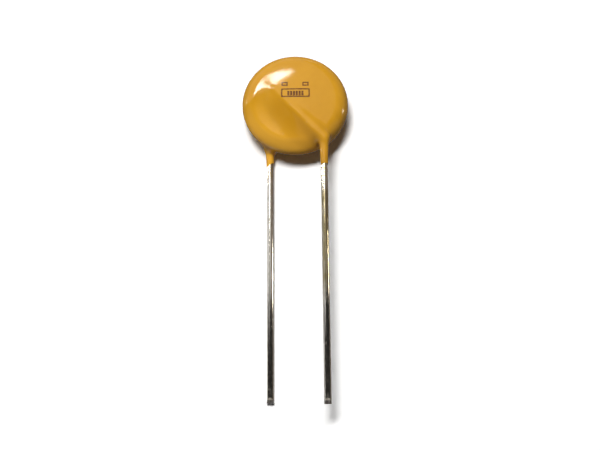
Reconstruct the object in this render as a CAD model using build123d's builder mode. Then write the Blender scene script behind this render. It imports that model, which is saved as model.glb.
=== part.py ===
"""Leaded disc varistor, dip coated, lying on its back with its leads towards -Y.

Lengths are in millimetres and angles in degrees. The floor is Z = 0. The disc has a frame of its
own, with X across, Y away from the leads and Z out of its front face, and every piece is drawn on
a plane of that frame. A height is measured along Z from the middle of the ceramic.
"""

import os
from math import asin, atan2, cos, degrees, hypot, pi, radians, sin, sqrt

from build123d import *

# Ceramic, electrodes and solder
ceramic_diameter = 7.4
ceramic_thickness = 1.5
ceramic_edge_radius = 0.25
electrode_margin = 0.5
electrode_thickness = 0.05
solder_film = 0.05
solder_width = 1.3
solder_rise = 0.42
solder_slope = 35
solder_edge_margin = 0.15

# Leads, each as long as stated below the body
wire_diameter = 0.6
lead_spacing = 4.8
lead_shift = 0.12
front_lead_length = 22.75
rear_lead_length = 22.15
kink_reach = 0.45
run_length = 5.9
run_angle = 47
tip_bevel_length = 0.22
tip_edge_thickness = 0.2

# Coating
cover_on_rim = 1.05
cover_on_face = 0.8
cover_on_wire = 0.22
crown_radius = 19.0
ridge_low_flank = 0.8
ridge_high_flank = 1.1
ridge_foot_depth = 0.12
ridge_lead_in = 0.7
front_sleeve_length = 1.5
rear_sleeve_length = 0.7

# Sections of a sleeve: share of its length from the kink, cover on the wire, and how far the
# coating hangs down from it towards the rim
sleeve_sections = (
    (0.0, 0.2, 0.0),
    (0.18, 0.16, 0.35),
    (0.45, 0.1, 0.07),
    (1.0, 0.045, 0.0),
)

# It lies on the ridge and kink of its back and on the tip of the rear lead.
rest_roll = -0.33

wire_radius = wire_diameter / 2
body_radius = ceramic_diameter / 2 + cover_on_rim
electrode_diameter = ceramic_diameter - 2 * electrode_margin
electrode_height = ceramic_thickness / 2 + electrode_thickness
wire_height = electrode_height + solder_film + wire_radius
crown_height = electrode_height + cover_on_face
ridge_radius = wire_radius + cover_on_wire
kink_below_centre = ceramic_diameter / 2

# The crown is a cap of a sphere, and the rim is an arc that runs into both caps with no corner.
rim_radius = (2 * crown_height * crown_radius - crown_height**2 - body_radius**2) / (
    2 * (crown_radius - body_radius)
)
crown_half_angle = degrees(asin((body_radius - rim_radius) / (crown_radius - rim_radius)))
crown_edge = crown_radius * sin(radians(crown_half_angle))
crown_centre_depth = crown_radius - crown_height

# The floor meets the round over the rear kink, and the pitch brings the rear tip down to it.
rear_kink = (lead_shift - lead_spacing / 2, -kink_below_centre, -wire_height)
kink_to_rear_tip = body_radius + rear_lead_length - tip_bevel_length - kink_below_centre
rest_pitch = degrees(atan2(cover_on_wire, kink_to_rear_tip))
lying = Plane(Location((0, 0, 0), (rest_pitch, rest_roll, 0)))
disc_height = ridge_radius - lying.from_local_coords(rear_kink).Z
disc_y = max(front_lead_length, rear_lead_length) / 2
disc = Plane(origin=(0, disc_y, disc_height), x_dir=lying.x_dir, z_dir=lying.z_dir)

# The back is the front turned over about the disc's own Y, so one drawing serves both sides.
front = disc
rear = Plane(origin=disc.origin, x_dir=-disc.x_dir, z_dir=-disc.z_dir)


def coating_height(radius):
    """Height of the coating over the middle of the disc, without its ridges."""
    if radius < crown_edge:
        return sqrt(crown_radius**2 - radius**2) - crown_centre_depth
    from_rim_centre = min(radius - body_radius + rim_radius, rim_radius)
    return sqrt(rim_radius**2 - from_rim_centre**2)


def lead_x(side):
    """The rear lead is seen from behind, so the shift of the pair brings it nearer the middle."""
    return lead_spacing / 2 + (lead_shift if side is front else -lead_shift)


def run_point(side, distance):
    """X and Y of a point of the slanted run on its own side, by its distance from the kink."""
    slant = radians(180 - run_angle)
    return lead_x(side) + distance * cos(slant), distance * sin(slant) - kink_below_centre


def make_lead(side, length, sleeve_length):
    """A wire with a slanted run on the electrode, a kink past the disc, and a straight free end.

    The bend is tight at the kink and opens out, so that the wire is straight where it leaves the
    sleeve.
    """
    sleeve_end = (lead_x(side), -body_radius - sleeve_length)
    with BuildPart() as lead:
        with BuildLine(side.offset(wire_height)) as route:
            Line(run_point(side, run_length), run_point(side, kink_reach))
            Bezier(
                run_point(side, kink_reach),
                run_point(side, 0),
                (lead_x(side), -kink_below_centre - kink_reach),
                sleeve_end,
            )
            Line(sleeve_end, (lead_x(side), -body_radius - length))
        wire = route.line
        with BuildSketch(Plane(origin=wire @ 0, z_dir=wire % 0)):
            Circle(wire_radius)
        sweep(path=wire)

        # The cutter leaves a blunt wedge, its edge across the wire.
        with BuildSketch(Plane(origin=wire @ 1, x_dir=wire % 1, z_dir=side.x_dir)):
            for away in (1, -1):
                with BuildLine():
                    Polyline(
                        (-tip_bevel_length, away * wire_radius),
                        (0, away * tip_edge_thickness / 2),
                        (0, away * wire_radius),
                        close=True,
                    )
                make_face()
        extrude(amount=wire_diameter, both=True, mode=Mode.SUBTRACT)
    return lead.part


def make_electrode(side):
    with BuildPart() as electrode:
        with BuildSketch(side.offset(ceramic_thickness / 2)):
            Circle(electrode_diameter / 2)
        extrude(amount=electrode_thickness)
    return electrode.part


def make_solder(side, lead):
    """A mound of solder along the slanted run, with a thin film under the wire."""
    slant = radians(180 - run_angle)
    kink_to_nearest = kink_below_centre * sin(slant) - lead_x(side) * cos(slant)
    run_offset = kink_below_centre * cos(slant) + lead_x(side) * sin(slant)
    half_chord = sqrt((electrode_diameter / 2) ** 2 - run_offset**2)
    start = kink_to_nearest - half_chord + solder_edge_margin + solder_width / 2
    with BuildPart() as solder:
        with BuildSketch(side.offset(electrode_height)):
            with Locations(run_point(side, (start + run_length) / 2)):
                SlotCenterToCenter(run_length - start, solder_width, rotation=-run_angle)
        extrude(amount=solder_rise, taper=solder_slope)
        add(lead, mode=Mode.SUBTRACT)
    return solder.part


def ridge_section(side, distance, crest):
    """A hump square to the slanted run, its feet a little under the coating's own surface."""
    slant = radians(180 - run_angle)
    x, y = run_point(side, distance)

    def foot(offset):
        from_middle = hypot(x + offset * sin(slant), y - offset * cos(slant))
        return coating_height(from_middle) - ridge_foot_depth

    points = []
    for share in (-1, -0.5, 0, 0.5, 1):
        flank = ridge_low_flank if share < 0 else ridge_high_flank
        base = foot(-flank if share < 0 else flank)
        points.append((share * flank, base + (crest - base) * (1 + cos(pi * share)) / 2))
    plane = Plane(
        origin=side.from_local_coords((x, y)),
        x_dir=side.x_dir * sin(slant) - side.y_dir * cos(slant),
        z_dir=-side.x_dir * cos(slant) - side.y_dir * sin(slant),
    )
    with BuildSketch(plane) as hump:
        with BuildLine():
            Spline(*points, tangents=[(1, 0), (1, 0)])
            Polyline(points[-1], (ridge_high_flank, 0), (-ridge_low_flank, 0), points[0])
        make_face()
    return hump.sketch


def sleeve_section(side, below_kink, radius, web):
    """A round section of the coating on a lead, drawn down towards the rim by the web."""
    centre = side.from_local_coords((lead_x(side), -kink_below_centre - below_kink, wire_height))
    turns = [radians(turn) for turn in (-90, -45, 0, 45, 90)]
    over = [(radius * sin(turn), radius * cos(turn)) for turn in turns]
    under = [(radius * sin(turn), -(radius + web) * cos(turn)) for turn in reversed(turns)]
    with BuildSketch(Plane(origin=centre, x_dir=side.x_dir, z_dir=-side.y_dir)) as ring:
        with BuildLine():
            Spline(*over, tangents=[(0, 1), (0, -1)])
            Spline(*under, tangents=[(0, -1), (0, 1)])
        make_face()
    return ring.sketch


def drape_over_wire(side, sleeve_length):
    """The coating over one wire: a ridge on the face, a round at the kink, then a sleeve."""
    buried = coating_height(hypot(*run_point(side, run_length))) - ridge_foot_depth
    crest = wire_height + ridge_radius
    loft(
        [
            ridge_section(side, run_length + ridge_lead_in, buried),
            ridge_section(side, run_length - ridge_lead_in, crest),
            ridge_section(side, run_length / 2, crest),
            ridge_section(side, kink_reach, crest),
        ]
    )
    with Locations(side.from_local_coords((lead_x(side), -kink_below_centre, wire_height))):
        Sphere(ridge_radius)
    kink_to_end = body_radius + sleeve_length - kink_below_centre
    loft(
        [
            sleeve_section(side, share * kink_to_end, wire_radius + cover, web)
            for share, cover, web in sleeve_sections
        ]
    )


with BuildPart() as zinc_oxide_disc:
    with BuildSketch(disc.offset(-ceramic_thickness / 2)):
        Circle(ceramic_diameter / 2)
    extrude(amount=ceramic_thickness)
    fillet(zinc_oxide_disc.edges(), ceramic_edge_radius)

front_electrode = make_electrode(front)
rear_electrode = make_electrode(rear)
front_lead = make_lead(front, front_lead_length, front_sleeve_length)
rear_lead = make_lead(rear, rear_lead_length, rear_sleeve_length)
front_solder = make_solder(front, front_lead)
rear_solder = make_solder(rear, rear_lead)
held_inside = [front_electrode, rear_electrode, front_solder, rear_solder, front_lead, rear_lead]

with BuildPart() as epoxy_coating:
    with BuildSketch(Plane(origin=disc.origin, x_dir=disc.x_dir, z_dir=-disc.y_dir)):
        with BuildLine():
            rim_centre = body_radius - rim_radius
            top = CenterArc(
                (0, -crown_centre_depth), crown_radius, 90 - crown_half_angle, crown_half_angle
            )
            CenterArc((rim_centre, 0), rim_radius, crown_half_angle - 90, 180 - 2 * crown_half_angle)
            bottom = CenterArc((0, crown_centre_depth), crown_radius, 270, crown_half_angle)
            Line(top @ 1, bottom @ 0)
        make_face()
    revolve(axis=Axis(disc.origin, disc.z_dir))
    drape_over_wire(front, front_sleeve_length)
    drape_over_wire(rear, rear_sleeve_length)
    add(zinc_oxide_disc.part, mode=Mode.SUBTRACT)
    for piece in held_inside:
        add(piece, mode=Mode.SUBTRACT)

pieces = {
    "zinc_oxide_disc": zinc_oxide_disc.part,
    "front_electrode": front_electrode,
    "rear_electrode": rear_electrode,
    "front_solder": front_solder,
    "rear_solder": rear_solder,
    "front_lead": front_lead,
    "rear_lead": rear_lead,
    "epoxy_coating": epoxy_coating.part,
}

os.makedirs("parts", exist_ok=True)
for name, piece in pieces.items():
    piece.label = name
    export_step(piece, f"parts/{name}.step")
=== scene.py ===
"""Looks of the leaded disc varistor: its coating, wires, print, light and camera.

Shapes are worked out in millimetres in the disc's own frame, with X across, Y away from the leads
and Z out of the printed face, and then carried into the row frame in metres. The rear is drawn as
the front is, in that frame turned over about Y.
"""

import math

import bpy
import numpy as np
from mathutils import Matrix, Vector


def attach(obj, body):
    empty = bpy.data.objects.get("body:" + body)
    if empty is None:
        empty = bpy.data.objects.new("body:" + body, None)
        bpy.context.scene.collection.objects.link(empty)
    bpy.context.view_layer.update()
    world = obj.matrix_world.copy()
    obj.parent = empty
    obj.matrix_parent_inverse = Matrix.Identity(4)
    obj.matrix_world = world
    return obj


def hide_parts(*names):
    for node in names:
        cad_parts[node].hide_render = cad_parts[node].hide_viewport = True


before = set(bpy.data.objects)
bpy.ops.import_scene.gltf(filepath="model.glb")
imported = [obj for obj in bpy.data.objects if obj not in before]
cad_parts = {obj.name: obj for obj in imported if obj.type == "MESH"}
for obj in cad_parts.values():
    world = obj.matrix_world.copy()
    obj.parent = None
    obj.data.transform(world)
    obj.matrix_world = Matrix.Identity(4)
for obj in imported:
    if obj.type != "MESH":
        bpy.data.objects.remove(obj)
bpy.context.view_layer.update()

MM = 0.001

# Sizes repeated from the part's source, in millimetres and degrees
DISC_Y = 11.375
DISC_HEIGHT = 1.71848
REST_PITCH = 0.54851
REST_ROLL = -0.33
BODY_RADIUS = 4.75
WIRE_RADIUS = 0.3
WIRE_HEIGHT = 1.15
KINK_Y = -3.7
KINK_REACH = 0.45
RUN_LENGTH = 5.9
RUN_TURN = math.radians(133)
COVER_RADIUS = 0.52
TIP_BEVEL = 0.22
TIP_EDGE = 0.1

# Each side: which way it is turned, how far across its lead is, how far the lead and the sleeve
# reach below the body, and how much the sleeve's end slants
SIDES = {
    "front": {"turn": 1, "x": 2.52, "length": 22.75, "sleeve": 1.5, "slant": 0.12},
    "rear": {"turn": -1, "x": 2.28, "length": 22.15, "sleeve": 0.62, "slant": 0.62},
}

DISC_MIDDLE = Vector((0, DISC_Y, DISC_HEIGHT))
DISC_TO_ROW = (
    Matrix.Translation((0, DISC_Y * MM, DISC_HEIGHT * MM))
    @ Matrix.Rotation(math.radians(REST_PITCH), 4, "X")
    @ Matrix.Rotation(math.radians(REST_ROLL), 4, "Y")
    @ Matrix.Scale(MM, 4)
)


# Coating: a lens with a cover over each wire and a hollow below each slanted wire

CREST = WIRE_HEIGHT + COVER_RADIUS
ALONG_RUN = np.array((math.cos(RUN_TURN), math.sin(RUN_TURN)))
BELOW_RUN = np.array((-ALONG_RUN[1], ALONG_RUN[0]))

# Half the lens's thickness and the radius of its crowns, and the share of the body's radius past
# which its height is taken as level
LENS = (1.575, 26.0)
CROWN_SHARE = 0.86

# The hollow, in steps along the wire from its kink: how wide it is. Then its depth, how fast it
# rises again outside, where it starts and ends, the rounds of its corners, bottom and upper edge,
# and the heights between which it comes in, so that each hollow is on its own face only
HOLLOW_STEPS = (-1.5, 0.0, 1.5, 3.0, 4.4, 5.8, 7.2)
HOLLOW_WIDTHS = (0.8, 1.45, 1.9, 2.05, 1.9, 1.5, 1.1)
HOLLOW_DEPTH = 0.3
HOLLOW_RISE = 0.075
HOLLOW_START = (-0.8, 1.7)
HOLLOW_END = 7.15
HOLLOW_CORNER = 1.5
HOLLOW_BOTTOM = 0.5
HOLLOW_EDGE = 0.1
HOLLOW_FACE = (0.1, 0.9)

# The cover over the slanted run: how far it goes on past the wire's inner end, how much it sinks
# on the way there, and how much slimmer it is near the kink
RUN_PAST_END = 0.6
RUN_SINK = 0.3
RUN_SINK_REACH = (2.6, RUN_LENGTH - 0.3)
KINK_SLIM = 0.05
KINK_SLIM_REACH = (0.0, 1.2)

# The sleeve's radius at shares of its length from the kink, and the round of its end
SLEEVE_SHARES = (0.0, 0.18, 0.45, 1.0)
SLEEVE_RADII = (0.47, 0.43, 0.385, 0.338)
SLEEVE_END_BLEND = 0.08

# How softly a cover's two parts run into each other. Then how softly it runs into the lens, on the
# sleeve and on the ridge, and how much more softly round the kink, with reaches along Y from there
RUN_TO_SLEEVE_BLEND = 0.3
SLEEVE_BLEND = 0.36
RIDGE_BLEND = 0.4
RIDGE_BLEND_REACH = (-1.0, 0.1)
KINK_BLEND = 0.35
KINK_BLEND_IN = (-1.4, -0.4)
KINK_BLEND_OUT = (0.3, 2.2)

# Unevenness of the surface, the round where the crest is held level, and the room left in the box
WAVINESS = 0.012
CAP_BLEND = 0.06
CLEAR_OF_BOX = 0.004


def smooth_least(a, b, reach):
    """The lesser of two distances, rounded where they are within reach of each other."""
    blend = np.maximum(reach - np.abs(a - b), 0)
    return np.minimum(a, b) - blend**2 / (4 * reach)


def ease(low, high, value):
    """From 0 at low to 1 at high, level at both ends."""
    share = np.clip((value - low) / (high - low), 0, 1)
    return share * share * (3 - 2 * share)


def lens_distance(p, height, crown_radius):
    """Distance to a lens whose two crowns are caps of a sphere, joined by a round rim."""
    rim_radius = (2 * height * crown_radius - height**2 - BODY_RADIUS**2) / (
        2 * (crown_radius - BODY_RADIUS)
    )
    rim_middle = BODY_RADIUS - rim_radius
    depth = crown_radius - height
    radius = np.hypot(p[:, 0], p[:, 1])
    rise = np.abs(p[:, 2])
    crown = np.hypot(radius, rise + depth) - crown_radius
    rim = np.hypot(radius - rim_middle, rise) - rim_radius
    return np.where(radius * depth < rim_middle * (rise + depth), crown, rim)


def lens_height(radius):
    """Height of the crown over the middle of the disc, at a distance from its axis."""
    height, crown_radius = LENS
    inner = np.minimum(radius, BODY_RADIUS * CROWN_SHARE)
    return np.sqrt(crown_radius**2 - inner**2) - crown_radius + height


def hollow_depth(q, side):
    """How far the coating sags below one slanted wire, between the wire and the rim."""
    from_kink = q[:, :2] - np.array((side["x"], KINK_Y))
    along = from_kink @ ALONG_RUN
    below = from_kink @ BELOW_RUN
    width = np.interp(along, HOLLOW_STEPS, HOLLOW_WIDTHS)
    inward = smooth_least(below, HOLLOW_END - along, HOLLOW_CORNER)
    inward = (inward + np.sqrt(inward**2 + HOLLOW_EDGE**2)) / 2
    fall = HOLLOW_DEPTH * inward / width
    rise = HOLLOW_DEPTH - HOLLOW_RISE * (inward - width)
    depth = smooth_least(fall, rise, HOLLOW_DEPTH * HOLLOW_BOTTOM)
    return np.maximum(depth, 0) * ease(*HOLLOW_START, along) * ease(*HOLLOW_FACE, q[:, 2])


def wire_cover(q, side):
    """Distance to the coating round one wire, a round along its slanted run and then a sleeve.

    It comes with how far each point is above the kink along Y.
    """
    kink = np.array((side["x"], KINK_Y))
    from_kink = q[:, :2] - kink
    reach = np.clip(from_kink @ ALONG_RUN, 0, RUN_LENGTH + RUN_PAST_END)
    nearest = kink + reach[:, None] * ALONG_RUN
    stands = np.clip(CREST - lens_height(np.hypot(nearest[:, 0], nearest[:, 1])), 0, RIDGE_BLEND)
    radius = COVER_RADIUS - (math.sqrt(RIDGE_BLEND) - np.sqrt(stands)) ** 2
    radius -= RUN_SINK * ease(*RUN_SINK_REACH, reach)
    radius -= KINK_SLIM * (1 - ease(*KINK_SLIM_REACH, reach))
    off = q[:, :2] - nearest
    ridge = np.sqrt((off**2).sum(1) + (q[:, 2] - WIRE_HEIGHT) ** 2) - radius

    length = BODY_RADIUS + side["sleeve"] + KINK_Y
    down = np.clip(-from_kink[:, 1], 0, length)
    thick = np.interp(down / length, SLEEVE_SHARES, SLEEVE_RADII)
    past = np.minimum(-from_kink[:, 1], 0)
    sleeve = np.sqrt(from_kink[:, 0] ** 2 + past**2 + (q[:, 2] - WIRE_HEIGHT) ** 2) - thick
    end = -from_kink[:, 1] - length + side["slant"] * from_kink[:, 0] * side["turn"]
    sleeve = -smooth_least(-sleeve, -end, SLEEVE_END_BLEND)
    return smooth_least(ridge, sleeve, RUN_TO_SLEEVE_BLEND), from_kink[:, 1]


def waviness(p):
    """The unevenness of a dipped surface from slow and fine waves, about 0 to 1."""
    x, y, z = p.T
    slow = np.sin(1.1 * x + 0.7 * y + 0.4) * np.sin(0.9 * y - 0.5 * x + 1.3)
    fine = np.sin(2.3 * x - 1.4 * y + 2.1 + 1.5 * z) * np.sin(1.9 * y + 1.2 * x + 0.6)
    return 0.5 + 0.34 * slow + 0.16 * fine


def coating_distance(p):
    """Distance to the coating's surface, less than 0 inside it."""
    body = lens_distance(p, *LENS)
    for side in SIDES.values():
        body = body + hollow_depth(p * (side["turn"], 1, side["turn"]), side)
    for side in SIDES.values():
        cover, above_kink = wire_cover(p * (side["turn"], 1, side["turn"]), side)
        on_ridge = ease(*RIDGE_BLEND_REACH, above_kink)
        reach = SLEEVE_BLEND + (RIDGE_BLEND - SLEEVE_BLEND) * on_ridge
        before_out = 1 - ease(*KINK_BLEND_OUT, above_kink)
        reach = reach + KINK_BLEND * ease(*KINK_BLEND_IN, above_kink) * before_out
        body = smooth_least(body, cover, reach)
    capped = -smooth_least(-body, CREST - np.abs(p[:, 2]), CAP_BLEND)
    return capped + WAVINESS * waviness(p) + CLEAR_OF_BOX


# The grid that the surface is found on: its corners and step, and how many parts it is worked out
# in. Then how often each point is moved onto the surface, the nudge that its slope is measured
# with, the least slope squared, and a length that is as good as none
GRID_LOW = (-5.0, -6.9, -1.85)
GRID_HIGH = (5.0, 5.0, 1.85)
GRID_STEP = 0.062
GRID_PARTS = 16
SURFACE_MOVES = 5
SLOPE_NUDGE = 0.002
LEAST_SLOPE = 0.25
NO_LENGTH = 1e-9


def move_onto(distance, points, step):
    """Moves points down the slope of a distance to where it is 0, a step at the most."""
    value = distance(points)
    slope = np.empty_like(points)
    for axis in range(3):
        nudge = np.zeros(3)
        nudge[axis] = SLOPE_NUDGE
        ahead, behind = distance(points + nudge), distance(points - nudge)
        slope[:, axis] = (ahead - behind) / (2 * SLOPE_NUDGE)
    steepness = np.maximum((slope**2).sum(1), LEAST_SLOPE)
    move = -(value / steepness)[:, None] * slope
    length = np.sqrt((move**2).sum(1))[:, None]
    return points + move * np.minimum(1, step / np.maximum(length, NO_LENGTH))


def surface_of(distance, low, high, step):
    """Quads over the surface where a distance is 0: one point for each cell that it crosses."""
    axes = [np.arange(low[i], high[i] + step, step) for i in range(3)]
    shape = tuple(len(a) for a in axes)
    grid = np.stack(np.meshgrid(*axes, indexing="ij"), -1).reshape(-1, 3)
    near = np.concatenate([distance(part) for part in np.array_split(grid, GRID_PARTS)])
    inside = (near < 0).reshape(shape)
    corners = sum(
        inside[i : shape[0] - 1 + i, j : shape[1] - 1 + j, k : shape[2] - 1 + k].astype(np.int8)
        for i in (0, 1)
        for j in (0, 1)
        for k in (0, 1)
    )
    crossed = (corners > 0) & (corners < 8)
    number = np.full(crossed.shape, -1)
    number[crossed] = np.arange(crossed.sum())
    points = (np.argwhere(crossed) + 0.5) * step + np.array(low)
    for _ in range(SURFACE_MOVES):
        points = move_onto(distance, points, step)

    # Each grid edge that leaves or enters the surface gives a quad through the cells round it.
    quads = []
    for axis in range(3):
        b, c = (axis + 1) % 3, (axis + 2) % 3
        head = [slice(None)] * 3
        tail = [slice(None)] * 3
        head[axis] = slice(0, -1)
        tail[axis] = slice(1, None)
        first = inside[tuple(head)]
        second = inside[tuple(tail)]
        for leaving in (True, False):
            at = np.argwhere((first != second) & (first == leaving))
            around = []
            for db, dc in ((-1, -1), (0, -1), (0, 0), (-1, 0)):
                cell = at.copy()
                cell[:, b] += db
                cell[:, c] += dc
                around.append(number[tuple(cell.T)])
            quad = np.stack(around, 1)
            quads.append(quad if leaving else quad[:, ::-1])
    return points, np.concatenate(quads)


def mesh_object(name, points, faces, matrix=None):
    """An object with smooth faces through points, which a matrix may carry elsewhere."""
    mesh = bpy.data.meshes.new(name)
    mesh.from_pydata([tuple(p) for p in points], [], [tuple(f) for f in faces])
    if matrix is not None:
        mesh.transform(matrix)
    mesh.validate()
    mesh.update()
    mesh.polygons.foreach_set("use_smooth", [True] * len(mesh.polygons))
    thing = bpy.data.objects.new(name, mesh)
    bpy.context.scene.collection.objects.link(thing)
    return thing


points, quads = surface_of(coating_distance, GRID_LOW, GRID_HIGH, GRID_STEP)
coating = mesh_object("dipped_coating", points, quads.tolist(), DISC_TO_ROW)


# Wires

# How many rings stand on the slanted run, the bend and the free end, how far from the tip the
# last ones are, and how many points a ring has
RUN_RINGS = 8
BEND_RINGS = 28
FREE_RINGS = 150
TIP_RINGS = (0.1, 0.08, 0.05, 0.02, 0.0)
RING = 40

# The wire is drawn this much slimmer than the solid. Its dents lie from a little above the tip to
# a little below the sleeve.
WIRE_SLIMMER = 0.001
DENTS = 26
DENT_DEPTH = 0.010
DENT_WIDTHS = (0.05, 0.16)
DENTS_ABOVE_TIP = 0.5
DENTS_TOP_Y = -7.0


def wire_route(side):
    """Points along the wire's middle, in its own side's frame, from its inner end to its tip."""
    slant = Vector((math.cos(RUN_TURN), math.sin(RUN_TURN)))
    kink = Vector((side["x"], KINK_Y))
    end = Vector((side["x"], -BODY_RADIUS - side["sleeve"]))
    tip = Vector((side["x"], -BODY_RADIUS - side["length"]))
    route = [kink + slant * d for d in np.linspace(RUN_LENGTH, KINK_REACH, RUN_RINGS).tolist()]
    bend = (kink + slant * KINK_REACH, kink, kink - Vector((0, KINK_REACH)), end)
    for t in np.linspace(0, 1, BEND_RINGS).tolist()[1:]:
        route.append(
            (1 - t) ** 3 * bend[0]
            + 3 * (1 - t) ** 2 * t * bend[1]
            + 3 * (1 - t) * t**2 * bend[2]
            + t**3 * bend[3]
        )
    route += [end + (tip - end) * t for t in np.linspace(0, 1, FREE_RINGS).tolist()[1:-1]]
    route += [tip + Vector((0, d)) for d in TIP_RINGS]
    route.sort(key=lambda spot: -spot.y)
    return route


def make_wire(name, side, seed):
    """A drawn wire with faint dents along it, cut off to a blunt wedge at its tip."""
    chance = np.random.default_rng(seed)
    route = wire_route(side)
    tip_y = route[-1].y
    turns = np.linspace(0, 2 * math.pi, RING, endpoint=False)
    dents = [
        (
            chance.uniform(tip_y + DENTS_ABOVE_TIP, DENTS_TOP_Y),
            chance.uniform(0, 2 * math.pi),
            chance.uniform(*DENT_WIDTHS),
        )
        for _ in range(DENTS)
    ]
    points = []
    for i, middle in enumerate(route):
        ahead = (route[min(i + 1, len(route) - 1)] - route[max(i - 1, 0)]).normalized()
        across = Vector((-ahead.y, ahead.x))
        to_tip = middle.y - tip_y
        for turn in turns:
            radius = WIRE_RADIUS - WIRE_SLIMMER
            for dent_y, dent_turn, width in dents:
                round_wire = WIRE_RADIUS * math.sin((turn - dent_turn) / 2) * 2
                gap = math.hypot(middle.y - dent_y, round_wire)
                if gap < width:
                    radius -= DENT_DEPTH * (1 - (gap / width) ** 2) ** 2
            rise = radius * math.sin(turn)
            if to_tip < TIP_BEVEL:
                limit = TIP_EDGE + (WIRE_RADIUS - TIP_EDGE) * to_tip / TIP_BEVEL
                rise = max(-limit, min(limit, rise))
            spot = middle + across * (radius * math.cos(turn))
            points.append((spot.x * side["turn"], spot.y, (WIRE_HEIGHT + rise) * side["turn"]))
    faces = []
    for i in range(len(route) - 1):
        for j in range(RING):
            k = (j + 1) % RING
            faces.append((i * RING + j, i * RING + k, (i + 1) * RING + k, (i + 1) * RING + j))
    faces.append(tuple(reversed(range(RING))))
    faces.append(tuple(range((len(route) - 1) * RING, len(route) * RING)))
    wire = mesh_object(name, points, faces, DISC_TO_ROW)
    for face in (wire.data.polygons[-1], wire.data.polygons[-2]):
        face.use_smooth = False
    return wire


wires = {
    "front_lead": make_wire("front_wire", SIDES["front"], seed=5),
    "rear_lead": make_wire("rear_wire", SIDES["rear"], seed=11),
}


# Materials


class Shader:
    """The nodes of a material or a world, made one at a time and joined by what feeds them."""

    def __init__(self, name, kind="Material"):
        store = bpy.data.worlds if kind == "World" else bpy.data.materials
        self.owner = store.new(name)
        self.owner.use_nodes = True
        self.tree = self.owner.node_tree
        self.tree.nodes.clear()
        self.output = self.node("Output" + kind)

    def node(self, kind, feeds=None, **settings):
        made = self.tree.nodes.new("ShaderNode" + kind)
        for key, value in settings.items():
            setattr(made, key, value)
        for socket, value in (feeds or {}).items():
            self.feed(made.inputs[socket], value)
        return made

    def feed(self, socket, value):
        if isinstance(value, bpy.types.NodeSocket):
            self.tree.links.new(value, socket)
        elif isinstance(value, bpy.types.Node):
            self.tree.links.new(value.outputs[0], socket)
        else:
            socket.default_value = value

    def show(self, surface):
        """Ends the nodes with a surface, and gives back the material or world."""
        self.feed(self.output.inputs["Surface"], surface)
        return self.owner

    def principled(self, feeds):
        return self.show(self.node("BsdfPrincipled", feeds))

    def math(self, operation, *values):
        return self.node("Math", dict(enumerate(values)), operation=operation).outputs[0]

    def product(self, first, *others):
        for other in others:
            first = self.math("MULTIPLY", first, other)
        return first

    def spread(self, value, span):
        """A value from 0 to 1, spread evenly about 0 over a span."""
        return self.math("MULTIPLY_ADD", value, span, -span / 2)

    def vector(self, operation, *values):
        made = self.node("VectorMath", dict(enumerate(values)), operation=operation)
        return made.outputs["Value" if operation in ("DOT_PRODUCT", "LENGTH") else "Vector"]

    def separate(self, vector):
        return self.node("SeparateXYZ", {0: vector}).outputs

    def place(self):
        """Millimetres in the row frame."""
        spot = self.node("TexCoord").outputs["Object"]
        return self.node("VectorMath", {0: spot, "Scale": 1 / MM}, operation="SCALE").outputs[0]

    def noise(self, vector, scale=1.0, detail=3.0, roughness=0.5):
        feeds = {"Vector": vector, "Scale": scale, "Detail": detail, "Roughness": roughness}
        return self.node("TexNoise", feeds).outputs["Fac"]

    def stretch(self, vector, scale):
        return self.node("Mapping", {"Vector": vector, "Scale": scale}).outputs[0]

    def ramp(self, factor, *stops):
        made = self.node("ValToRGB", {"Fac": factor})
        for element, (position, color) in zip(made.color_ramp.elements, stops, strict=True):
            element.position = position
            element.color = (*color, 1.0)
        return made.outputs["Color"]

    def remap(self, value, low, high, to_low=0.0, to_high=1.0):
        feeds = {"Value": value, 1: low, 2: high, 3: to_low, 4: to_high}
        return self.node("MapRange", feeds, interpolation_type="SMOOTHSTEP").outputs[0]

    def mix(self, factor, first, second):
        """A mix of two colours, each a socket or three numbers."""
        made = self.node("Mix", data_type="RGBA")
        factor_in, first_in, second_in, color_out = 0, 6, 7, 2
        for socket, value in ((factor_in, factor), (first_in, first), (second_in, second)):
            self.feed(made.inputs[socket], (*value, 1.0) if isinstance(value, tuple) else value)
        return made.outputs[color_out]

    def bumps(self, *layers):
        """A normal from layers, each a height and how many millimetres it stands for."""
        normal = None
        for height, depth in layers:
            feeds = {"Height": height, "Distance": depth * MM}
            if normal is not None:
                feeds["Normal"] = normal
            normal = self.node("Bump", feeds).outputs[0]
        return normal

    def seen(self):
        """1 for a ray that ends in the picture straight, off gloss or through glass, else 0."""
        rays = self.node("LightPath").outputs
        seen = self.math("MAXIMUM", rays["Is Camera Ray"], rays["Is Glossy Ray"])
        return self.math("MAXIMUM", seen, rays["Is Transmission Ray"])


# Marks printed on the face: each is a box given by its middle and half size, in millimetres from
# the disc's middle. They are plain shapes that say nothing. Lines are given by half their width.
# Below them are the ink's colour, how much its edge wanders, and where it fades there.
FRAME_MARK = (0.03, 0.52, 1.22, 0.37)
FRAME_LINE = 0.062
FRAME_CORNER = 0.16
BAR_MARKS = [(-0.60 + 0.25 * i, 0.47, 0.095, 0.23) for i in range(6)]
SMALL_MARKS = [(-0.93, 1.4, 0.27, 0.19), (0.93, 1.4, 0.27, 0.19)]
SMALL_LINE = 0.06
SMALL_SHRINK = -0.05
SHARP_CORNER = 0.001
INK = (0.12, 0.028, 0.002)
INK_RAGGED = 0.05
INK_EDGE = (0.02, -0.025)

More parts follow.
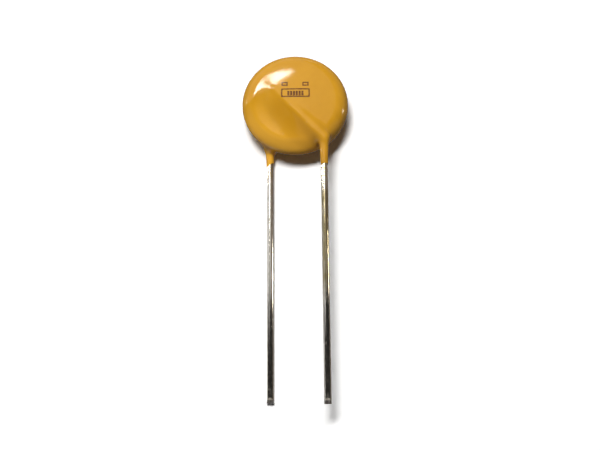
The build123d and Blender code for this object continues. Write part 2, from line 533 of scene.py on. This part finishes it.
# The coating's colours: its two main shades, its flecks, a darker ochre painted as shade in the
# hollow, and a paler ochre painted as light towards the wires and the left, with the way to that
# side, how far along it the light comes in, and how much of it there is at most
OCHRE_DARK = (0.665, 0.318, 0.014)
OCHRE_LIGHT = (0.725, 0.354, 0.020)
FLECK = (0.56, 0.24, 0.008)
DARKER_OCHRE = (0.575, 0.268, 0.012)
PAINTED_LIGHT_OCHRE = (0.93, 0.47, 0.040)
LIT_SIDE = (-0.6, -0.8, 0.0)
LIT_SIDE_REACH = (1.6, 4.3)
LIT_SIDE_MOST = 0.55

# The front sleeve gets the darker ochre too: it ends between these two values of Y and starts
# between these heights, in the row frame
SLEEVE_TOP_Y = (5.4, 6.8)
SLEEVE_HEIGHTS = (1.6, 2.3)
SLEEVE_MOST = 0.9

# Where shade is painted in the hollow: the middle of its length, how wide it is there, how fast
# it narrows away from there, how much its edge wanders, and how its edges fade
HOLLOW_SHADE_MIDDLE = 3.0
HOLLOW_SHADE_WIDTH = 2.25
HOLLOW_SHADE_NARROWS = -0.06
HOLLOW_SHADE_WANDER = 0.5
HOLLOW_SHADE_OUTER = (-0.25, 0.4)
HOLLOW_SHADE_INNER = (0.0, 0.5)
HOLLOW_SHADE_FAR = (4.6, 7.0)
HOLLOW_SHADE_NEAR = (-1.6, 0.4)
HOLLOW_SHADE_HEIGHTS = (DISC_HEIGHT + 0.2, DISC_HEIGHT + 0.8)

# The wire's colours, over what lengths its tarnish comes in and goes out, and how far above the
# tip the cut metal turns to tin
TIN_DARK = (0.44, 0.415, 0.375)
TIN_LIGHT = (0.60, 0.58, 0.545)
TIN_DULL = (0.26, 0.22, 0.17)
RESIDUE = (0.50, 0.40, 0.16)
TARNISH = (0.24, 0.20, 0.11)
CUT_DARK = (0.09, 0.085, 0.08)
CUT_LIGHT = (0.3, 0.29, 0.28)
TARNISH_STARTS = 3.0
TARNISH_ENDS = 1.5
CUT_REACH = (0.2, 0.3)


def ink_cover(s, place):
    """How much ink lies on each spot of the face, from 0 to 1."""
    x, y, z = s.separate(place)
    y = s.math("SUBTRACT", y, DISC_Y)
    ragged = s.spread(s.noise(place, scale=9.0, detail=2.0), INK_RAGGED)

    def box(mark, grow=0.0, corner=SHARP_CORNER):
        past = [
            s.math("SUBTRACT", s.math("ABSOLUTE", s.math("SUBTRACT", spot, middle)), half + grow)
            for spot, middle, half in zip((x, y), mark[:2], mark[2:])
        ]
        return s.math("SMOOTH_MAX", *past, corner)

    def line(distance, half_width):
        return s.math("SUBTRACT", s.math("ABSOLUTE", distance), half_width)

    nearest = line(box(FRAME_MARK, corner=FRAME_CORNER), FRAME_LINE)
    for mark in BAR_MARKS:
        nearest = s.math("MINIMUM", nearest, box(mark))
    for mark in SMALL_MARKS:
        nearest = s.math("MINIMUM", nearest, line(box(mark, SMALL_SHRINK), SMALL_LINE))
    inked = s.remap(s.math("ADD", nearest, ragged), *INK_EDGE)
    on_front = s.math("GREATER_THAN", z, DISC_HEIGHT)
    patchy = s.remap(s.noise(place, scale=5.0), 0.25, 0.6, 0.75, 1.0)
    return s.product(inked, on_front, patchy)


def hollow_painted_shade(s, place):
    """How much shade is painted in the hollow below the front wire, from 0 to 1."""
    from_kink = s.vector("SUBTRACT", place, (SIDES["front"]["x"], DISC_Y + KINK_Y, 0))
    along = s.vector("DOT_PRODUCT", from_kink, (*ALONG_RUN.tolist(), 0))
    below = s.vector("DOT_PRODUCT", from_kink, (*BELOW_RUN.tolist(), 0))
    z = s.separate(place)[2]
    off_middle = s.math("ABSOLUTE", s.math("SUBTRACT", along, HOLLOW_SHADE_MIDDLE))
    squared = s.product(off_middle, off_middle)
    width = s.math("MULTIPLY_ADD", squared, HOLLOW_SHADE_NARROWS, HOLLOW_SHADE_WIDTH)
    wander = s.spread(s.noise(place, scale=0.8, detail=2.0), HOLLOW_SHADE_WANDER)
    past_edge = s.math("SUBTRACT", below, s.math("ADD", width, wander))
    return s.product(
        s.remap(past_edge, *HOLLOW_SHADE_OUTER, 1.0, 0.0),
        s.remap(below, *HOLLOW_SHADE_INNER),
        s.remap(along, *HOLLOW_SHADE_FAR, 1.0, 0.0),
        s.remap(along, *HOLLOW_SHADE_NEAR),
        s.remap(z, *HOLLOW_SHADE_HEIGHTS),
    )


def epoxy():
    """Glossy ochre epoxy with painted shade and painted light, and the print on its face."""
    s = Shader("dipped_epoxy")
    place = s.place()
    body = s.ramp(s.noise(place, scale=0.35, detail=2.0), (0.3, OCHRE_DARK), (0.7, OCHRE_LIGHT))
    cloud = s.noise(place, scale=2.2, detail=4.0, roughness=0.6)
    body = s.mix(s.remap(cloud, 0.35, 0.75, 0.0, 0.12), body, FLECK)
    # Painted shade: the darker ochre in the hollow below the front wire
    body = s.mix(hollow_painted_shade(s, place), body, DARKER_OCHRE)
    # Painted light: a paler ochre towards the wires and the left
    toward_lit_side = s.vector("DOT_PRODUCT", s.vector("SUBTRACT", place, (0, DISC_Y, 0)), LIT_SIDE)
    body = s.mix(s.remap(toward_lit_side, *LIT_SIDE_REACH, 0.0, LIT_SIDE_MOST), body, PAINTED_LIGHT_OCHRE)
    y, z = s.separate(place)[1:3]
    on_sleeve = s.product(
        s.remap(y, *SLEEVE_TOP_Y, SLEEVE_MOST, 0.0), s.remap(z, *SLEEVE_HEIGHTS)
    )
    body = s.mix(on_sleeve, body, DARKER_OCHRE)
    ink = ink_cover(s, place)
    color = s.mix(ink, body, INK)
    rough = s.remap(s.noise(place, scale=1.1), 0.3, 0.75, 0.045, 0.09)
    rough = s.math("MULTIPLY_ADD", ink, 0.02, rough)
    peel = s.noise(place, scale=1.7, detail=2.0)
    fine = s.noise(place, scale=14.0, detail=2.0)
    normal = s.bumps((peel, 0.006), (fine, 0.0006), (ink, 0.001))
    return s.principled({"Base Color": color, "Roughness": rough, "Normal": normal, "IOR": 1.38})


def tinned(name, tip_y, residue_reach, seed, tarnish_reach=None):
    """Bright tin on drawn wire: lengthwise lines, scuffs, and specks of coating near the sleeve.

    The tip and the reaches are values of Y in the row frame.
    """
    s = Shader(name)
    place = s.place()
    shifted = s.vector("ADD", place, (seed, seed * 2.0, seed))
    y = s.separate(place)[1]
    drawn = s.noise(s.stretch(shifted, (14.0, 0.5, 14.0)), roughness=0.6)
    scuff = s.noise(s.stretch(shifted, (5.0, 2.2, 5.0)), detail=4.0, roughness=0.65)
    speck = s.noise(s.stretch(shifted, (7.0, 3.5, 7.0)), detail=2.0)
    color = s.ramp(scuff, (0.3, TIN_DARK), (0.62, TIN_LIGHT))
    dull = s.remap(speck, 0.60, 0.70, 0.0, 0.7)
    color = s.mix(dull, color, TIN_DULL)
    crumbs = s.remap(s.noise(shifted, scale=4.2, detail=2.0), 0.46, 0.60, 0.0, 0.75)
    color = s.mix(s.product(s.remap(y, *residue_reach), crumbs), color, RESIDUE)
    if tarnish_reach:
        low, high = tarnish_reach
        patch = s.noise(s.stretch(shifted, (3.0, 0.8, 3.0)), detail=4.0, roughness=0.65)
        stained = s.product(
            s.remap(y, low, low + TARNISH_STARTS),
            s.remap(y, high - TARNISH_ENDS, high, 1.0, 0.0),
            s.remap(patch, 0.35, 0.6, 0.7, 1.0),
        )
        color = s.mix(stained, color, TARNISH)
    cut = s.remap(y, tip_y + CUT_REACH[0], tip_y + CUT_REACH[1], 1.0, 0.0)
    color = s.mix(cut, color, s.ramp(scuff, (0.45, CUT_DARK), (0.6, CUT_LIGHT)))
    rough = s.remap(scuff, 0.3, 0.75, 0.05, 0.12)
    rough = s.math("MULTIPLY_ADD", dull, 0.1, rough)
    normal = s.bumps((drawn, 0.0015), (scuff, 0.0035))
    return s.principled(
        {"Base Color": color, "Roughness": rough, "Normal": normal, "Metallic": 1.0}
    )


def fired(name, shades, scale, roughness, depth, metallic=1.0):
    """A grained surface between two shades and two roughnesses, its grain so many mm deep."""
    s = Shader(name)
    grain = s.noise(s.place(), scale=scale, detail=4.0, roughness=0.6)
    color = s.ramp(grain, (0.3, shades[0]), (0.7, shades[1]))
    rough = s.remap(grain, 0.2, 0.8, *roughness)
    feeds = {"Base Color": color, "Roughness": rough, "Normal": s.bumps((grain, depth))}
    return s.principled({**feeds, "Metallic": metallic})


CERAMIC_SHADES = ((0.045, 0.045, 0.05), (0.085, 0.085, 0.09))
SILVER_SHADES = ((0.74, 0.73, 0.70), (0.86, 0.85, 0.82))
SOLDER_SHADES = ((0.50, 0.50, 0.49), (0.68, 0.67, 0.65))


def dress(thing, material):
    thing.data.materials.clear()
    thing.data.materials.append(material)


dress(coating, epoxy())
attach(coating, "root")
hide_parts("epoxy_coating")

tin_front = tinned(
    "tinned_front", tip_y=-16.13, residue_reach=(2.6, 4.6), seed=0.0, tarnish_reach=(-8.0, 3.6)
)
tin_rear = tinned("tinned_rear", tip_y=-15.53, residue_reach=(3.8, 5.8), seed=3.1)
for node, material in (("front_lead", tin_front), ("rear_lead", tin_rear)):
    dress(wires[node], material)
    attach(wires[node], "root")
    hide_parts(node)

silver = fired("fired_silver", SILVER_SHADES, scale=6.0, roughness=(0.32, 0.5), depth=0.004)
solder = fired("soft_solder", SOLDER_SHADES, scale=6.0, roughness=(0.25, 0.45), depth=0.01)
ceramic = fired(
    "fired_ceramic", CERAMIC_SHADES, scale=9.0, roughness=(0.6, 0.8), depth=0.01, metallic=0.0
)
dress(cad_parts["zinc_oxide_disc"], ceramic)
for end in ("front", "rear"):
    dress(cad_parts[end + "_electrode"], silver)
    dress(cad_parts[end + "_solder"], solder)


# Sheet of paper

# Half the sheet in metres, how light its mottle is, how much light the paper gives back to other
# surfaces and how much more to a ray that is seen, and how far off it turns to plain white
SHEET_HALF = 2
SHEET_MOTTLE = (0.985, 1.015)
PAPER_LIGHT = 0.34
PAPER_SEEN = 0.90
SHEET_FADE = (60, 220)

# A square's corners in halves of its side, and the one face that they make
CORNERS = ((-1, -1), (1, -1), (1, 1), (-1, 1))
QUAD = ((0, 1, 2, 3),)


def white_sheet():
    s = Shader("white_sheet")
    place = s.place()
    mottle = s.remap(s.noise(place, scale=0.02, detail=2.0), 0.3, 0.7, *SHEET_MOTTLE)
    seen = s.seen()
    paper = s.product(mottle, s.math("MULTIPLY_ADD", seen, PAPER_SEEN, PAPER_LIGHT))
    white = s.node("CombineXYZ", {0: paper, 1: paper, 2: paper})
    near = s.node("BsdfDiffuse", {"Color": white})
    beyond = s.node("Emission", {"Strength": seen})
    far_off = s.remap(s.vector("LENGTH", place), *SHEET_FADE)
    return s.show(s.node("MixShader", {0: far_off, 1: near, 2: beyond}))


floor = mesh_object("table", [(x * SHEET_HALF, y * SHEET_HALF, 0) for x, y in CORNERS], QUAD)
dress(floor, white_sheet())


# What the gloss shows: a window with the wall round it, the gaps beside whoever took the photo,
# the dim things in front of, above and behind the camera, and painted shade on the paper. Only
# reflections see these cards.

WINDOW_HEIGHT = 390
WINDOW_PANES = (
    ((-10, 322), (-75, 312), (-100, 298), (-82, 252), (-54, 270), (-26, 300)),
    ((-112, 292), (-150, 279), (-215, 262), (-165, 150), (-120, 192), (-92, 236)),
)
WINDOW_COLOR = (1.0, 0.97, 0.92)
WINDOW_STRENGTH = 40.0
SHEEN_HEIGHT = 395
SHEEN_MIDDLE = (-130, 235, SHEEN_HEIGHT)
SHEEN_FADE = (60, 230)
SHEEN_COLOR = (1.0, 0.93, 0.80)
SHEEN_STRENGTH = 1.75

# Each gap's direction from the disc, and the distance, width, height and light of them all
GAPS = {"left_gap": (-0.925, 0.355, 0.0), "right_gap": (0.98, 0.17, 0.0)}
GAP_DISTANCE = 100
GAP_SIZE = (9, 8)
GAP_COLOR = (1.0, 0.96, 0.85)
GAP_STRENGTH = 75.0

# Half pipes bend round the part's length. How far their cards are turned is in degrees past
# straight up.
PIPE_STEPS = 33
PIPE_RADIUS = 113
SIDE_PIPE_RADIUS = 118
NEARLY_LEVEL = 89
FRONT_Y = -200
HOLDER_Y = (6, 42)
SIDE_Y = (27, 420)
SIDE_FADE = (15, 22)

# The holder's far edge: its Y and how soft it is, and how much further it reaches at a notch and
# a bulge, each coming in between two turns and going out between two more
HOLDER_EDGE = 27.4
HOLDER_EDGE_SOFT = 0.4
HOLDER_NOTCH = (-7, (-50, -42), (-34, -26))
HOLDER_BULGE = (14, (-32, -22), (-14, -5))

# Two dark cards lie just over the paper, as painted shade on it that only reflections see.
TABLE_CARD_HEIGHT = 0.03


def card(name, corners, color, strength=1.0, faces=QUAD, solid=None):
    """A card with its corners in millimetres. It is clear where solid, a function, gives 0."""
    thing = mesh_object(name, [Vector(corner) * MM for corner in corners], faces)
    s = Shader(name)
    surface = s.node("Emission", {"Color": (*color, 1.0), "Strength": strength})
    if solid:
        surface = s.node("MixShader", {0: solid(s), 1: s.node("BsdfTransparent"), 2: surface})
    dress(thing, s.show(surface))
    thing.visible_camera = False
    thing.visible_diffuse = False
    thing.visible_shadow = False
    thing.visible_transmission = False
    thing.visible_volume_scatter = False


def level_card(name, x_reach, y_reach, height, color, strength=1.0, solid=None):
    """A card that lies level at a height, between two values of X and two of Y."""
    (left, right), (near, far) = x_reach, y_reach
    corners = [(x, y, height) for x, y in ((left, near), (right, near), (right, far), (left, far))]
    card(name, corners, color, strength, solid=solid)


def facing_card(name, direction, distance, size, color, strength):
    """A card square to the disc's middle, at a distance from it in a direction."""
    aim = Vector(direction).normalized()
    right = aim.cross(Vector((0, 0, 1))).normalized()
    up = right.cross(aim)
    middle = DISC_MIDDLE + aim * distance
    corners = [
        middle + right * (x * size[0] / 2) + up * (y * size[1] / 2) for x, y in CORNERS
    ]
    card(name, corners, color, strength)


def half_pipe(name, radius, turn_reach, y_reach, color, solid=None):
    """A card bent round the part's length, between two turns and two values of Y."""
    corners = [
        (radius * math.sin(angle), y, radius * math.cos(angle))
        for angle in np.radians(np.linspace(*turn_reach, PIPE_STEPS))
        for y in y_reach
    ]
    faces = [(2 * i, 2 * i + 1, 2 * i + 3, 2 * i + 2) for i in range(PIPE_STEPS - 1)]
    card(name, corners, color, faces=faces, solid=solid)


def turn_and_y(s):
    """Degrees past straight up round the part's length, and Y in millimetres."""
    x, y, z = s.separate(s.place())
    return s.math("DEGREES", s.math("ARCTAN2", x, z)), y


def window_streaks(s):
    """How solid a pane is, from 0 to 1, in soft streaks."""
    cloud = s.noise(s.stretch(s.place(), (1.0, 0.4, 1.0)), scale=0.05, detail=4.0, roughness=0.6)
    return s.remap(cloud, 0.36, 0.50, 0.15, 1.0)


def holder_edge(s):
    """1 up to the camera holder's uneven far edge, and 0 past it."""
    turn, y = turn_and_y(s)
    reach = HOLDER_EDGE
    for further, coming_in, going_out in (HOLDER_NOTCH, HOLDER_BULGE):
        within = s.product(s.remap(turn, *coming_in), s.remap(turn, *going_out, 1.0, 0.0))
        reach = s.math("MULTIPLY_ADD", within, further, reach)
    return s.remap(y, s.math("SUBTRACT", reach, HOLDER_EDGE_SOFT), reach, 1.0, 0.0)


def side_edge(s):
    return s.remap(turn_and_y(s)[0], *SIDE_FADE)


def sheen_edge(s):
    away = s.vector("LENGTH", s.vector("SUBTRACT", s.place(), SHEEN_MIDDLE))
    return s.remap(away, *SHEEN_FADE, 1.0, 0.0)


for i, pane in enumerate(WINDOW_PANES):
    card(
        f"window_pane_{i}",
        [(x, y, WINDOW_HEIGHT) for x, y in pane],
        WINDOW_COLOR,
        WINDOW_STRENGTH,
        faces=(tuple(range(len(pane))),),
        solid=window_streaks,
    )
for name, direction in GAPS.items():
    facing_card(name, direction, GAP_DISTANCE, GAP_SIZE, GAP_COLOR, GAP_STRENGTH)

all_round = (-NEARLY_LEVEL, NEARLY_LEVEL)
half_pipe("dim_front", PIPE_RADIUS, all_round, (FRONT_Y, HOLDER_Y[0]), (0.5, 0.47, 0.43))
front_end = ((-1, 0), (1, 0), (1, 1), (-1, 1))
card(
    "dim_front_end",
    [(x * PIPE_RADIUS, FRONT_Y, z * PIPE_RADIUS) for x, z in front_end],
    (0.42, 0.40, 0.37),
)
half_pipe(
    "camera_holder", PIPE_RADIUS, all_round, HOLDER_Y, (0.03, 0.028, 0.026), solid=holder_edge
)
side_turns = (SIDE_FADE[0], NEARLY_LEVEL)
half_pipe("dim_side", SIDE_PIPE_RADIUS, side_turns, SIDE_Y, (0.32, 0.26, 0.21), solid=side_edge)
level_card(
    "window_sheen",
    (-400, 140),
    (-60, 480),
    SHEEN_HEIGHT,
    SHEEN_COLOR,
    SHEEN_STRENGTH,
    solid=sheen_edge,
)
level_card("painted_shade_card", (-1.9, 110), (-60, 60), TABLE_CARD_HEIGHT, (0.24, 0.2, 0.17))
level_card("painted_shade_card_beyond", (-110, -1.9), (6.5, 60), TABLE_CARD_HEIGHT, (0.3, 0.25, 0.2))


# Light

LAMP_DISTANCE = 400
LAMP_COLOR = (1.0, 0.995, 0.985)
ROOM_LIGHT = 0.025
WHITE = (1.0, 1.0, 1.0, 1.0)


def area_light(name, direction, width, height, energy):
    """A soft oval lamp that shines on the disc from a direction."""
    data = bpy.data.lights.new(name, "AREA")
    data.shape = "ELLIPSE"
    data.size = width * MM
    data.size_y = height * MM
    data.energy = energy
    data.color = LAMP_COLOR
    lamp = bpy.data.objects.new(name, data)
    aim = Vector(direction).normalized()
    lamp.location = (DISC_MIDDLE + aim * LAMP_DISTANCE) * MM
    lamp.rotation_euler = aim.to_track_quat("Z", "Y").to_euler()
    lamp.visible_glossy = False
    bpy.context.scene.collection.objects.link(lamp)


area_light("key", (-0.17, 0.26, 0.95), 120, 110, energy=0.59)
area_light("skylight", (-0.16, 0.29, 0.943), 300, 90, energy=1.08)

room = Shader("room", "World")
dim = room.node("Background", {"Color": WHITE, "Strength": ROOM_LIGHT})
bright = room.node("Background", {"Color": WHITE, "Strength": 1.0})
bpy.context.scene.world = room.show(room.node("MixShader", {0: room.seen(), 1: dim, 2: bright}))


# Camera, fitted to the disc's outline and both wires in the photograph's 600 by 450 frame

VIEW_AZIMUTH = math.radians(0.24)
VIEW_ELEVATION = math.radians(69.25)
VIEW_ROLL = math.radians(-0.22)
VIEW_DISTANCE = 117.0
VIEW_AIM = Vector((0.34, -0.10, 1.72))
FOCAL_PIXELS = 1348.5
FRAME_PIXELS = 600
SENSOR_WIDTH = 36.0
CLIP_START = 0.001

toward = Vector(
    (
        math.sin(VIEW_AZIMUTH) * math.cos(VIEW_ELEVATION),
        math.cos(VIEW_AZIMUTH) * math.cos(VIEW_ELEVATION),
        -math.sin(VIEW_ELEVATION),
    )
)
level = Vector((math.cos(VIEW_AZIMUTH), -math.sin(VIEW_AZIMUTH), 0))
upright = level.cross(toward)
right = level * math.cos(VIEW_ROLL) + upright * math.sin(VIEW_ROLL)
up = upright * math.cos(VIEW_ROLL) - level * math.sin(VIEW_ROLL)
camera_data = bpy.data.cameras.new("camera")
camera_data.sensor_width = SENSOR_WIDTH
camera_data.lens = FOCAL_PIXELS / FRAME_PIXELS * SENSOR_WIDTH
camera_data.clip_start = CLIP_START
camera = bpy.data.objects.new("camera", camera_data)
axes = Matrix((right, up, -toward)).transposed().to_4x4()
camera.matrix_world = Matrix.Translation((VIEW_AIM - toward * VIEW_DISTANCE) * MM) @ axes
bpy.context.scene.collection.objects.link(camera)
bpy.context.scene.camera = camera

bpy.context.scene.view_settings.view_transform = "Standard"

bpy.context.view_layer.update()
